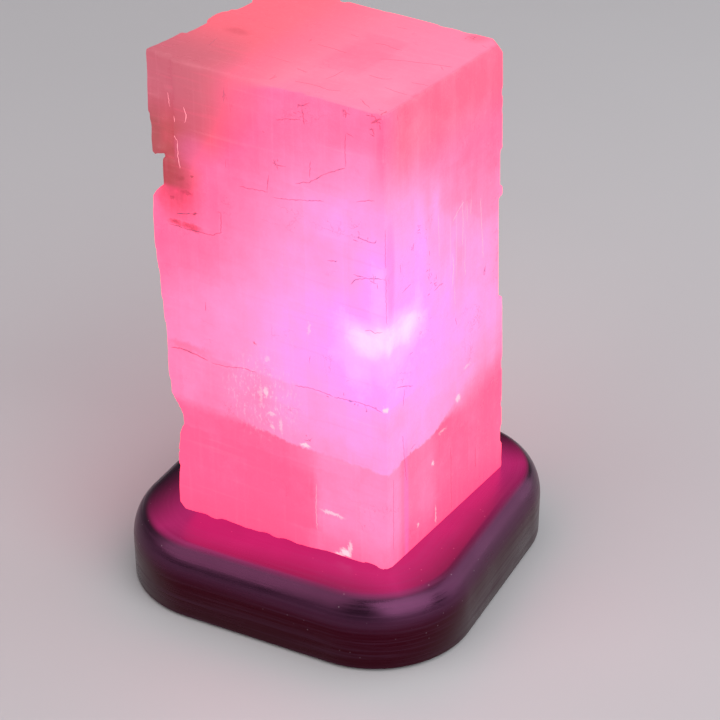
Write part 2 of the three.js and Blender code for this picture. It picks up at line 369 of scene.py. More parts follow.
def stoneField():
    # negative inside the stone, in mm, over a grid in u, v and w
    rng = np.random.default_rng(stone["seed"])
    pitch = stone["pitch"]
    farU, farV, farW = (stone[way + "Length"] for way in cleavage)
    u, v, w = (np.arange(-1.5 * pitch, far + 2 * pitch, pitch) for far in (farU, farV, farW))
    uu, vv, ww = u[:, None, None], v[None, :, None], w[None, None, :]
    frontLeft = terraces(rng, u, w, 8, 0.09)[:, None, :]
    backRight = terraces(rng, u, w, 16, 0.4)[:, None, :] * np.clip(u / 12, 0.2, 1)[:, None, None]
    frontRight = terraces(rng, v, w, 9, 0.11)[None, :, :]
    backLeft = terraces(rng, v, w, 16, 0.4)[None, :, :]
    top = terraces(rng, u, v, 10, 0.1)[:, :, None]
    field = np.maximum(frontRight - uu, uu - (farU - backLeft))
    for outside in (frontLeft - vv, vv - (farV - backRight), top - ww):
        field = np.maximum(field, outside)
    # worn and nicked edges, each a slanting cut: its run, two faces, wear, chips and the deepest
    upright, leftwards, rightwards = (w, (1, 1, -1)), (u, (-1, 1, 1)), (v, (1, -1, 1))
    edges = [
        (upright, uu, vv, 0.2, 9, 0.9), (upright, farU - uu, vv, 0.5, 16, 2),
        (upright, uu, farV - vv, 0.5, 16, 1.8), (upright, farU - uu, farV - vv, 0.5, 16, 2.2),
        (leftwards, ww, vv, 0.12, 8, 0.9), (leftwards, ww, farV - vv, 0.5, 12, 1.8),
        (rightwards, ww, uu, 0.3, 8, 0.8), (rightwards, ww, farU - uu, 0.6, 14, 2.2),
    ]
    for (axis, shape), one, other, wear, count, deepest in edges:
        gone = nicks(rng, axis, wear, count, deepest).reshape(shape)
        field = np.maximum(field, (gone - one - other) * edgeScale)
    # rounded-off corners of the top, nearest first
    corners = [(uu, vv, 0.9), (farU - uu, vv, 1.8), (uu, farV - vv, 3), (farU - uu, farV - vv, 3)]
    for one, other, gone in corners:
        field = np.maximum(field, (gone - one - other - ww) * cornerScale)
    for spanU, spanV, spanW in stoneBites:
        ragU = 0.35 * cloudOver(rng, v, w, 2.2)[None, :, :]
        ragW = 0.45 * cloudOver(rng, u, v, 2.2)[:, :, None]
        ragV = 0.3 * cloudOver(rng, u, w, 2.2)[:, None, :]
        outside = np.maximum(spanU[0] + np.maximum(ragU, -0.1) - uu, uu - spanU[1])
        outside = np.maximum(outside, np.maximum(spanV[0] - vv, vv - spanV[1] - ragV))
        outside = np.maximum(outside, np.maximum(spanW[0] + ragW - ww, ww - spanW[1] - ragW))
        field = np.maximum(field, -outside)
    border = np.interp(w, *zip(*stoneLeftBorder))[None, None, :]
    wavy = 0.18 * cloudOver(rng, v, w, 2.6)[None, :, :] + 0.1 * cloudOver(rng, v, w, 1.1)[None, :, :]
    field = np.maximum(field, uu - border - 0.1 * np.maximum(vv, 0) + np.maximum(wavy, -0.05))
    height = stone["corner"].z + uu * stone["left"].z + vv * stone["right"].z + ww * stone["down"].z
    field = np.maximum(field, stone["footHeight"] - height)
    a, b, c = (Vector(p) for p in stoneUndercut)
    normal = (c - a).cross(b - a).normalized()  # points down
    towards = [normal.dot(stone[way]) for way in cleavage]
    start = normal.dot(stone["corner"] - a)
    frayed = 0.4 * cloudOver(rng, u, v, 2.5)[:, :, None]
    below = start + uu * towards[0] + vv * towards[1] + ww * towards[2]
    field = np.maximum(field, below + frayed)
    # the foot's left corner is rounded off
    field = np.maximum(field, (4.5 - (50 - uu) - (102.3 - ww) - 0.6 * vv) * edgeScale)
    return u, v, w, field


def neighbours(axis, rest):
    # two views of a grid that are one cell apart along an axis
    first = [rest] * 3
    second = [rest] * 3
    first[axis] = slice(0, -1)
    second[axis] = slice(1, None)
    return tuple(first), tuple(second)


def skinField(u, v, w, field):
    # one vertex in each grid cell that the surface crosses, at the mean of its crossings
    inside = field < 0
    shape = tuple(n - 1 for n in field.shape)
    total = np.zeros(shape + (3,))
    hits = np.zeros(shape)
    for axis in range(3):
        first, second = neighbours(axis, slice(None))
        crossed = inside[first] != inside[second]
        gap = np.where(crossed, field[first] - field[second], 1)
        part = np.where(crossed, field[first] / gap, 0)
        others = [n for n in range(3) if n != axis]
        for steps in ((0, 0), (0, 1), (1, 0), (1, 1)):
            pick = [slice(None)] * 3
            for other, step in zip(others, steps):
                pick[other] = slice(step, shape[other] + step)
            mark = crossed[tuple(pick)]
            hits += mark
            total[..., axis] += np.where(mark, part[tuple(pick)], 0)
            for other, step in zip(others, steps):
                total[..., other] += np.where(mark, step, 0)
    cells = np.argwhere(hits > 0)
    at = tuple(cells.T)
    number = np.full(shape, -1)
    number[at] = np.arange(len(cells))
    place = cells + total[at] / hits[at][:, None]
    faces = []
    for axis in range(3):
        one, two = [(1, 2), (2, 0), (0, 1)][axis]
        first, second = neighbours(axis, slice(1, -1))
        before = inside[first]
        after = inside[second]
        for order, crossing in ((1, before & ~after), (-1, ~before & after)):
            edges = np.argwhere(crossing)
            ring = []
            for stepOne, stepTwo in ((0, 0), (1, 0), (1, 1), (0, 1)):
                cell = edges.copy()
                cell[:, one] += stepOne
                cell[:, two] += stepTwo
                ring.append(number[tuple(cell.T)])
            faces.append(np.stack(ring, 1)[:, ::order])
    faces = np.concatenate(faces)
    origin = np.array([u[0], v[0], w[0]])
    return origin + place * (u[1] - u[0]), faces


def makeStone():
    u, v, w, field = stoneField()
    grid, faces = skinField(u, v, w, field)
    axes = np.array([stone[way][:] for way in cleavage])
    points = (np.array(stone["corner"][:]) + grid @ axes) * mm
    # the lattice is left-handed, so the faces are turned over
    made = addMesh("calcite_stone", points, faces[:, ::-1])
    made.data.set_sharp_from_angle(angle=math.radians(stone["sharpFrom"]))
    return made


stoneLook = {
    "glowStrength": 1.7,
    # redder than it shows, so that the stand and floor around it catch the red
    "glowTint": (1, 0.588, 0.588),
    "baseGlow": 0.25,
    "sideways": 0.66,  # v counts for less than u in how fast the glow fades
    "farGlow": 0.75,  # the hidden heart at the back, against the near one
    "fogSize": 3,  # mm
    "veilDim": 0.06, "secondFaceDepth": 62.3, "secondFaceDim": 0.065,
    "roughness": 0.34,
}
# from dim coral to the white heart of the glow
stoneGlowStops = [
    (0, "ff5486"), (0.15, "ff5b8e"), (0.3, "ff72a4"), (0.42, "ff83b8"), (0.55, "ff91cc"),
    (0.7, "ff9be6"), (0.83, "ff9bfa"), (0.92, "ffb4ff"), (1, "ffe4ff"),
]
# brightness down the near edge: depth below the top in mm, light
stoneDepthLight = [(0, 0.31), (8, 0.36), (15, 0.51), (22, 0.69), (28, 0.79), (34, 0.84), (40, 0.86),
                   (47, 0.89), (52, 0.88), (58, 0.84), (64, 0.78), (70, 0.74), (80, 0.66), (110, 0.5)]
# how it fades away from the near edge: distance in mm, share
stoneSideLight = [(0, 1), (8, 0.93), (15, 0.79), (22, 0.62), (30, 0.44), (38, 0.27), (45, 0.16), (64, 0)]
# the lower inner face climbs across the right side: v, rise in mm
stoneInnerFace = {
    "depth": 75.6,
    "rise": [(0, -0.2), (1, -0.4), (11, 0.3), (17, -0.2), (20, 0.7), (23, 1.1), (26, 1.7), (32, 2.5),
             (38, 3.8), (50, 4.2)],
    "leftRise": [(0, 0), (22, 0), (28, 0.7), (36, 1.4), (56, 1.8)],
}
# how far down the veil on the right side hangs: v, w
stoneVeil = [(0, 20), (14, 22), (17, 25), (22, 26.5), (27, 32), (29, 29.5), (33, 30), (39, 36), (50, 37)]
# the lighter panel below the lower inner face, across the right side: v, share
stonePanelRight = [(0, 1), (4, 1), (6, 0.6), (10, 0.45), (14, 0.6), (17, 0.55), (20.5, 0.1), (26, 0),
                   (50, 0)]
# the shaded corner at the upper left
stoneShade = {
    "from": [(0, 25), (8, 28), (14, 32), (17, 35), (21, 39), (28, 42.5)],  # w, u where it starts
    "across": [(0, 1), (6, 0.97), (10, 0.91), (15, 0.8), (20, 0.68), (30, 0.5), (50, 0.36)],  # v, share
    "dusk": [(0.6, "a75a80"), (0.71, "9f576f"), (0.79, "95546a"), (0.97, "8c5266")],
}
# pale clouds in the glow, and dim ones: centre in u, v and w, half sizes, and how much light
stoneClouds = [
    (4.2, 0, 47.8, 5.2, 4, 3.6, 0.1), (0, 5, 46.2, 3, 4.5, 3.6, 0.05), (0, 9.5, 47.6, 3, 6, 4.2, 0.1),
    (9, 0, 54, 9, 4, 3.6, 0.04), (0, 14.8, 31.2, 2.5, 1.6, 6, 0.05), (0, 20, 24.5, 2.5, 1.8, 3.6, 0.08),
    (0, 26.9, 42.3, 2.5, 1, 3.6, 0.08), (0, 11.5, 36, 2.5, 4, 11, 0.03), (22, 0, 62, 12, 3, 9, 0.06),
    (12, 0, 68.5, 10, 2, 4, 0.03), (2, 0, 32, 3.5, 3, 7, 0.05), (0, 42, 59, 3, 11, 7, 0.08),
    (30, 49, 45, 12, 8, 14, 0.08), (0, 14, 6, 3, 18, 8, -0.14), (0, 24, 16, 3, 8, 6, -0.1),
    (0, 37, 25, 3, 12, 7.5, -0.14), (0, 26.5, 27.5, 2, 3.6, 2.4, -0.08), (0, 21, 36, 3, 5, 5, -0.09),
    (0, 41, 35, 2, 5, 4, -0.07), (0, 3, 65.5, 3, 5, 2.6, -0.08), (56, 0, 41, 13, 4, 15, -0.2),
    (37, 0, 7, 14, 4, 8, -0.13), (32, 0, 17, 7, 3, 6, -0.07), (12, 0, 35, 5, 3, 6, -0.13),
    (29, 0, 66, 2.5, 3, 2.5, -0.06), (35, 0, 34, 5, 3, 15, -0.06), (0, 29, 45, 2, 2.4, 9, -0.09),
    (0, 17, 27, 2, 2, 5, -0.08), (0, 47, 6, 2, 3, 8, -0.1), (0, 12, 15, 3, 14, 5, -0.07),
]
# white bruises, then red-brown stains with one painted shade below a ledge: centre in u, v and w, half
# sizes, and strength
stoneBruises = [
    (28.2, 0, 66, 0.5, 2, 1.1, 0.6), (29.4, 0, 67, 0.3, 2, 2, 0.3), (17.7, 0, 49.2, 0.3, 2, 1.4, 0.3),
    (27.7, 0, 58.7, 0.5, 2, 0.5, 0.3), (26.9, 0, 73.3, 0.6, 2, 0.4, 0.4),
    (19.2, 0, 75.2, 1.1, 2, 0.45, 0.8), (0.1, 0.1, 61.8, 0.8, 0.8, 0.7, 0.9),
    (13, 0, 88.5, 2.4, 2, 0.35, 0.6), (10, 0, 96.2, 1.1, 2, 0.8, 0.9), (8.9, 0, 95, 0.4, 2, 1.5, 0.6),
    (11.6, 0, 97, 1.3, 2, 0.4, 0.6), (2.6, 0, 97.6, 2.2, 2, 0.3, 0.85), (27, 0, 70.5, 0.8, 2, 0.4, 0.4),
    (24.8, 0, 72.5, 0.4, 2, 1.6, 0.35), (0, 22.5, 76.5, 2, 1.6, 0.3, 0.35), (0, 33, 66.5, 2, 1.3, 0.3, 0.3),
    (0, 29.2, 72.2, 2, 0.8, 0.7, 0.6), (0, 18.3, 82, 2, 0.5, 0.5, 0.7), (0, 12, 92.7, 2, 0.4, 0.4, 0.5),
    (0, 19.3, 94, 2, 0.3, 1.8, 0.45),
]
stoneStainsAndLedgeShade = [
    (48.5, 1, 27.5, 5.2, 6, 6, 0.7), (51, 1, 24, 2.2, 6, 3.6, 0.8), (49.3, 0, 29.7, 0.9, 2, 0.9, 0.84),
    (46.1, 0, 27.8, 2.1, 2, 0.8, 0.82), (47.8, 0, 25.1, 2.4, 2, 1, 0.86), (44.3, 0, 23.9, 0.4, 2, 0.4, 0.8),
    (44, 0, 31.9, 0.4, 2, 0.4, 0.76), (48.8, 0, 34.8, 1.6, 2, 0.6, 0.78),
    # the one at u 46.8 and w 61.6 is painted shade below the ledge
    (45.2, 0, 34.9, 2.2, 2, 0.8, 0.76), (30.6, 0, 56, 0.35, 2, 0.3, 0.7), (46.8, 0, 61.6, 5, 3, 0.8, 0.3),
    (5, 47, 0, 2.2, 2.6, 1.5, 0.3), (46, 20, 0, 2.5, 1.5, 1.5, 0.3), (50, 45, 30, 6, 8, 5, 0.5),
    (20, 49, 70, 7, 6, 4, 0.4),
]
# how the fine lines that are laid into the faces darken the stone
crackTones = {"crack": (0.24, 0.38, 0.44), "hairline": (0.2, 0.48, 0.57)}


def cleavageCoordinates(s):
    # where a point is in mm along the three cleavage directions
    inverse = Matrix([stone[way] for way in cleavage]).transposed().inverted()
    fromCorner = s.vector("SUBTRACT", s.node("TexCoord", "Object"), stone["corner"] * mm)
    return [s.vector("DOT_PRODUCT", fromCorner, row / mm, output="Value") for row in inverse]


def stoneMaterial(name, lineTone=None):
    look = stoneLook
    s = Wiring(name)
    step, blend, noise, patch = s.step, s.blend, s.noise, s.patch
    u, v, w = cleavageCoordinates(s)
    lattice = s.node("CombineXYZ", 0, {"X": u, "Y": v, "Z": w})

    def curveInMm(value, points, low=0, high=1):
        # a curve drawn in real numbers: from 0 to the last point's place, between low and high
        span = points[-1][0]
        drawn = s.curve(s.math("DIVIDE", value, span, clamp=True),
                        [(x / span, (y - low) / (high - low)) for x, y in points])
        return low + drawn * (high - low)

    def swell(scale, amount, detail=2):
        return (noise(lattice, scale, detail) - 0.5) * amount

    wobble = swell(0.055, 0.26)
    mottle = swell(0.26, 0.14, 3) + swell(1.5, 0.06, 3)
    spread = step(w, 20, 60, 1.12, 0.8)

    # the glow: bright along the near edge at mid height, fading outwards
    depthLight = curveInMm(w + wobble * 12, stoneDepthLight)

    def sideLight(fromU, fromV):
        flat = fromV * look["sideways"]
        away = s.math("SQRT", fromU * fromU + flat * flat)
        return curveInMm(away * spread, stoneSideLight)

    nearSide = sideLight(u, v)
    farSide = sideLight(stone["leftLength"] - u, stone["rightLength"] - v)
    side = s.math("MAXIMUM", nearSide, farSide * look["farGlow"])
    light = (depthLight - look["baseGlow"]) * side + look["baseGlow"] + wobble

    # pale and dim clouds, with a foggy outline; the fog moves each by half its size
    foggy = s.swirled(lattice, lattice, 0.22, 3, look["fogSize"])
    for *oval, boost in stoneClouds:
        light = light + patch(foggy, oval, 0.75, look["fogSize"] / 2) * boost

    # rectangular patches where inner cleavage flashes or dims, weaker in the white heart
    def patches(sizes, shift, amount):
        bent = s.vector("ADD", s.swirled(shift, lattice, 0.5, 2, 1.2), lattice)
        snapped = s.vector("SNAP", bent, sizes)
        return (s.node("TexWhiteNoise", "Value", {"Vector": snapped}) - 0.5) * amount

    calm = step(light, 0.78, 0.95, 1, 0.3)
    light = light + (patches((13, 17, 23), (3, 5, 1), 0.045) + patches((5, 4, 27), (1, 2, 7), 0.035)) * calm

    # a ragged veil hangs from the top of the right side, painted as dimmer glow down to its edge
    veilEdge = curveInMm(v, stoneVeil, 0, 50) + swell(0.5, 5)
    veil = step(w - veilEdge, -0.8, 1.6, 1, 0) * step(v, 13, 20)
    light = light - veil * look["veilDim"]

    # the second inner face, fainter
    ripple = swell(0.22, 1.6)
    secondFace = step(w + ripple - look["secondFaceDepth"], -0.3, 0.4) * step(v, 8, 15, 1, 0.25)
    light = light - secondFace * look["secondFaceDim"]

    # the lower inner face: level across the left, climbing to the right; dim coral below it
    rise = curveInMm(v, stoneInnerFace["rise"], -1, 20) + curveInMm(u, stoneInnerFace["leftRise"], 0, 2)
    edgeHeight = stoneInnerFace["depth"] - rise + ripple + swell(1.1, 1.3)
    soften = s.math("MAXIMUM", step(u, 24, 42, 0.35, 1.6), step(v, 20, 36, 0.35, 5))
    belowEdge = step(w - edgeHeight, soften * -1, soften)
    # a lighter panel by the near edge: crisp on its left at mid height, soft above and below
    across = u + swell(0.6, 0.8)
    crisp = step(w, 78, 84, 0.15, 0.75) * step(w, 91, 95, 1, 0.2)
    panelLeft = s.blendNumber(crisp, step(across, 12, 27, 1, 0), step(across, 15.9, 17.9, 1, 0))
    lowLight = 0.16 + panelLeft * curveInMm(v, stonePanelRight) * 0.29
    lowLight = lowLight - step(w, 88, 98, 0, 0.16) + wobble * 0.5 + patches((9, 7, 14), (2, 1, 4), 0.05)
    light = s.blendNumber(belowEdge, light, lowLight) + mottle * calm

    colour = s.ramp(s.math("MULTIPLY", light, 1, clamp=True), stoneGlowStops)

    # the upper right side is a touch more salmon
    salmon = step(w, 6, 19, 1, 0) * step(v, 0.5, 8)
    colour = blend(salmon, colour, blend(1, colour, (1, 1.1, 0.87), "MULTIPLY"))

    # the top's painted glow is paler and more salmon, and dimmer where the light is low
    topSide = blend(step(u, 0, 52), "ff93b5", "ff778a")
    topDim = blend(1, topSide, (0.97, 0.86, 0.9), "MULTIPLY")
    topSide = blend(step(light, 0.15, 0.45), topDim, topSide)
    topEdge = step(u, 22, 40, 0.35, 6)
    colour = blend(step(w, -0.1, topEdge, 1, 0), colour, topSide)

    # painted shade: the far left top is out of the light, painted dusky and then tan, less of it the deeper
    # it goes
    into = u + wobble * 24 - curveInMm(w, stoneShade["from"], 20, 50)
    into = into / step(w, 4, 24, 16, 8.5)
    shadeV = curveInMm(v, stoneShade["across"])
    shade = s.math("POWER", step(into, 0, 1), 0.6) * step(w, 26.5, 28, 1, 0) * shadeV
    dusk = s.ramp(u / 56, stoneShade["dusk"])
    dusk = blend(step(w, 4, 14), dusk, blend(1, dusk, (1.04, 0.74, 0.86), "MULTIPLY"))
    tan = blend(step(noise(lattice, 0.25), 0.35, 0.65), "903c4a", "863a42")
    tan = blend(step(u, 51, 53.5), tan, blend(1, tan, (0.72, 1, 0.88), "MULTIPLY"))
    dull = blend(step(w, 7, 17) * step(u, 43, 50), dusk, tan)
    colour = blend(shade * 0.97, colour, dull)
    mauve = patch(lattice, (44, 0, 19, 4.2, 3, 3.4), 0.6) * 0.3
    colour = blend(mauve, colour, "c060a8")

    # red-brown stains and one painted shade below a ledge; two swirls fray every mark, and together they
    # push it by half their sizes
    coarse, fine = 1.4, 1
    ragged = s.swirled(s.swirled(lattice, lattice, 0.8, 3, coarse), lattice, 2.6, 3, fine)

    def marks(ovals, soft):
        strongest = 0
        for *oval, strength in ovals:
            mark = patch(ragged, oval, soft, (coarse + fine) / 2)
            strongest = s.math("MAXIMUM", strongest, mark * strength)
        return strongest

    # the stains, and the painted shade below the ledge
    stainAndLedgeShade = marks(stoneStainsAndLedgeShade, 0.7) * step(noise(lattice, 0.45), 0.3, 0.6, 0.84, 1)
    colour = blend(stainAndLedgeShade, colour, "7e2036")

    # hairline fractures: thin borders of stretched cells, shown only in patches
    def veins(stretchBy, start, end):
        warped = s.swirled(s.stretch(lattice, *stretchBy), lattice, 0.7, 4, 0.45)
        borders = s.node("TexVoronoi", "Distance", {"Vector": warped, "Scale": 1},
                         feature="DISTANCE_TO_EDGE")
        return step(borders, 0, 0.012, 1, 0) * step(noise(lattice, 0.1, 2), start, end)

    cracks = s.math("MAXIMUM", veins((0.07, 0.1, 0.16), 0.55, 0.65), veins((0.2, 0.2, 0.06), 0.58, 0.68))
    colour = blend(cracks * 0.34, colour, "a8386e")

    # fine streaks: along the left edge on the top, downwards on the sides
    downStreak = noise(s.stretch(lattice, 0.9, 0.9, 0.04), 1, 4)
    acrossStreak = noise(s.stretch(lattice, 0.04, 0.7, 0.9), 1, 4)
    colour = blend(step(downStreak, 0.5, 0.85, 0, 0.06), colour, "ffb6dc", "SCREEN")
    colour = blend(step(acrossStreak, 0.55, 0.8, 0, 0.07), colour, "ffb6cc", "SCREEN")
    colour = blend(step(acrossStreak, 0.3, 0.45, 0.07, 0), colour, "f0608e")

    # pale combed lines on the right side, and frosty flecks on the left and the back
    combWhere = patch(lattice, (0, 31, 36, 3, 9, 8), 0.5)
    stripes = noise(s.stretch(lattice, 1, 1, 0.03), 1.1, 1)
    comb = step(stripes, 0.6, 0.68, 0, 0.5) * combWhere
    fleckWhere = s.math("MAXIMUM", patch(lattice, (29, 0, 67, 8, 3, 8), 0.5),
                        patch(lattice, (40, 49, 60, 16, 5, 12), 0.5))
    flecks = noise(s.stretch(lattice, 1.6, 1.6, 0.7), 1, 6, 0.7)
    fleck = step(flecks, 0.5, 0.7, 0, 1.5) * fleckWhere
    colour = blend(s.math("MAXIMUM", comb, fleck) * 0.42, colour, "ffc6e6")

    # white bruises, a violet streak down the right side and a soft fissure down the near edge
    colour = blend(marks(stoneBruises, 0.5), colour, "ffdfea")
    colour = blend(patch(lattice, (0, 7.4, 86, 2, 0.9, 13), 0.5) * 0.4, colour, "ff70c8")
    colour = blend(patch(lattice, (0, 2, 33, 0.7, 1.7, 10), 0.45) * 0.45, colour, "e474cc")

    if lineTone in crackTones:
        depth = step(noise(lattice, 0.9, 2), 0.25, 0.75, 0.7, 1) * step(shade, 0, 0.8, 1, 0.35)
        colour = blend(depth, colour, crackTones[lineTone], "MULTIPLY")
    if lineTone == "pale":
        colour = blend(0.6, colour, "ffc4d6")

    # surface relief: fine steps and grain
    relief = s.bump(downStreak, 0.3, 0.2 * mm)
    relief = s.bump(acrossStreak, 0.3, 0.2 * mm, relief)
    relief = s.bump(noise(lattice, 2.4, 4) - cracks * 0.7, 0.3, 0.05 * mm, relief)
    rough = step(noise(lattice, 0.3, 4), 0.3, 0.7, look["roughness"] - 0.1, look["roughness"] + 0.14)
    return s.finish({
        "Base Color": blend(shade, (0.12, 0.02, 0.035), (0.13, 0.055, 0.05)), "Roughness": rough,
        "IOR": 1.5, "Specular IOR Level": 0.28, "Normal": relief,
        "Emission Color": blend(1, colour, look["glowTint"], "MULTIPLY"),
        "Emission Strength": look["glowStrength"],
    })


calciteStone = makeStone()
calciteStone.data.materials.append(stoneMaterial("litCalcite"))
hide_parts("calcite_block")
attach(calciteStone, "root")
print("the calcite stone has", len(calciteStone.data.polygons), "faces")


def readLines(groups):
    # each as (face, width, points)
    return [(face, width, list(zip(places[::2], places[1::2])))
            for face, *rows in groups for width, *places in rows]


# lines by face, in mm: a width, then the points' places along the face's two directions
crackLines = readLines([
    ["top",
     (0.13, 29.3, 23.8, 25.6, 23.7, 22.2, 23.3), (0.13, 20.3, 31.4, 18.6, 32, 16.6, 31.4, 14.1, 31.1),
     (0.14, 15.5, 24.8, 10.4, 26.8, 6.7, 28, 4.3, 28.8, 1.4, 29.5), (0.09, 3.5, 28.3, 2, 27.1),
     (0.12, 22.6, 4.5, 19.7, 5.2, 15.1, 4.8, 12.9, 5.7), (0.12, 12.7, 15.9, 9.6, 15.8, 8.1, 17),
     (0.11, 4.1, 17.7, 2.6, 18, 0.6, 18.4), (0.12, 7, 12.4, 4, 11.9, 1.7, 11.8),
     (0.14, 7.7, 4.4, 5.7, 2.9, 4, 1.9), (0.16, 7.3, 46.2, 5.6, 45.8, 5.6, 47.4),
     (0.12, 2.4, 43.6, 0.8, 43), (0.1, 36.7, 4.2, 35.5, 4.5), (0.1, 27, 32.6, 25.1, 32.4)],
    ["left",
     (0.4, 2.8, 2.2, 1.5, 1.4, 0.5, 0.8), (0.3, 1.9, 0.7, 1.3, 2)],
    ["top",
     (0.34, 0.9, 0.7, 0.7, 1.7, 0.8, 2.6)],
    ["left",
     (0.34, 2.7, 3, 2.1, 4.3), (0.3, 8.8, 0.9, 8.3, 1.6, 8.5, 2.5), (0.22, 9.3, 1.2, 7.8, 1.5),
     (0.13, 8.4, 5.6, 6.8, 6), (0.15, 8.6, 5.9, 8.7, 9.2, 8.6, 12.6),
     (0.16, 18.4, 2.7, 18, 4.6, 17.9, 6.3), (0.12, 19.2, 2.9, 16.5, 1.5),
     (0.11, 24.3, 6.9, 21, 5.9, 18.7, 5.5), (0.13, 36.2, 3.1, 36.3, 6.7),
     (0.13, 25.1, 15.2, 24.6, 16.3, 22.3, 16), (0.12, 26.3, 18.8, 26.7, 22.7),
     (0.11, 20.2, 19, 16.8, 17.9, 13.5, 15.4, 11.2, 14.1, 8.6, 12.9), (0.16, 27.5, 10, 26.9, 10.3),
     (0.12, 33.2, 23, 30.9, 22.9, 26.7, 22.5), (0.14, 25.3, 23.3, 21.4, 22.7, 17.5, 21.9, 13.6, 21),
     (0.13, 6.4, 19.3, 4, 18.3, 2.1, 18), (0.12, 48.5, 33, 43.2, 31.5),
     (0.16, 38.5, 29.8, 37.7, 30.1, 37.9, 34.1, 39.9, 35.3, 45.7, 35.6, 50.3, 35.6),
     (0.18, 6.3, 26.6, 3.8, 26.8, 2.2, 26.7, 1.9, 26),
     (0.16, 7.8, 36.9, 6.7, 35.6, 4.5, 34.7, 0.6, 33.8), (0.14, 2.8, 33.4, 2.6, 35.3),
     (0.18, 4.9, 45.9, 3.5, 45.3, 2.4, 45.7, 0.8, 45), (0.3, 50.9, 62.9, 48.5, 62.4, 45, 62.8, 42, 63.2),
     (0.13, 41, 63.4, 37.9, 63.3, 33.6, 62.4, 30.4, 62.4), (0.11, 21.2, 62.6, 17.8, 62, 12.4, 62.2),
     (0.14, 12, 62.3, 9.3, 62, 6.5, 61.8, 3.2, 61.9, 1, 62.3), (0.18, 19.5, 74, 18.1, 73.8, 17.5, 72.9)],
    ["right",
     (0.12, 0.4, 23.5, 0.35, 27, 0.4, 31.5), (0.09, 0.5, 33, 0.45, 38, 0.6, 43.6),
     (0.2, 5.1, 1.3, 5.5, 2.7), (0.26, 13.1, 27.5, 13.2, 27.9), (0.22, 13.6, 29, 13.9, 29.3),
     (0.24, 11.2, 30.4, 11, 30.9, 10.2, 31.7), (0.16, 5.9, 32.9, 6.1, 34.6), (0.2, 17.1, 39.4, 17.5, 40),
     (0.2, 19.1, 42.1, 19.5, 42.8), (0.1, 4.1, 58.6, 7.4, 59.6, 10.5, 60.9),
     (0.12, 6.2, 70, 6.6, 73.5, 7.5, 80.4), (0.09, 2.4, 78, 2.2, 93.4), (0.1, 26, 82.2, 26, 96),
     (0.12, 36.5, 87, 36.5, 91.4)],
])
paleLines = readLines([
    ["right",
     (0.2, 30.9, 28.6, 31.2, 33, 31, 38.5), (0.15, 33, 29.6, 33.1, 34.2), (0.15, 34.8, 29.8, 34.7, 33.4),
     (0.22, 38.9, 31.2, 39.3, 38, 40, 45), (0.18, 32, 42.6, 32.4, 45.8),
     (0.26, 26.8, 39, 27.2, 42.2, 26.9, 45.8), (0.13, 27.8, 46.5, 28, 50.8),
     (0.16, 26.9, 31.8, 29, 30.4, 31.6, 29.2), (0.1, 21, 28, 21.3, 37)],
    ["left",
     (0.2, 45.8, 9.6, 45.3, 11.2, 45.7, 12.9), (0.1, 50.2, 8, 50, 11),
     (0.2, 48.9, 12.6, 48.7, 16.1, 47.6, 17.2), (0.14, 47.6, 17.2, 47.6, 20.5, 47.2, 23),
     (0.1, 16.8, 83, 16.9, 88, 16.7, 93)],
])


# for each face: the two directions of its lines, the inward one, and where it starts
faceFrames = {
    "left": (stone["left"], stone["down"], stone["right"], Vector()),
    "right": (stone["right"], stone["down"], stone["left"], Vector()),
    "top": (stone["left"], stone["right"], stone["down"], Vector()),
    "farLeft": (stone["right"], stone["down"], -stone["left"], stone["left"] * stone["leftLength"]),
    "back": (stone["left"], stone["down"], -stone["right"], stone["right"] * stone["rightLength"]),
}


def strayLines(rng, face, count, longest, fromA, toA, fromB, toB):
    # random fractures that mostly follow the cleavage directions
    made = []
    for _ in range(count):
        spot = [rng.uniform(fromA, toA), rng.uniform(fromB, toB)]
        points = [tuple(spot)]
        level = rng.random() < 0.5
        for _ in range(rng.integers(1, 4)):
            run = rng.uniform(0.3, 1) * longest * rng.choice([-1, 1])
            drift = rng.uniform(-0.25, 0.25) * run
            spot = [spot[0] + (run if level else drift), spot[1] + (drift if level else run)]
            points.append(tuple(spot))
        made.append((face, rng.uniform(0.07, 0.15), points))
    return made


lineShape = {  # mm
    "spacing": 0.45, "jitter": 0.1, "raised": 0.02, "ridge": 0.05, "root": 0.25,
    "halfShare": 0.62,  # of the width that a line is given
    "above": 4, "below": 2.2,  # how far out and in the stone's skin is looked for
}


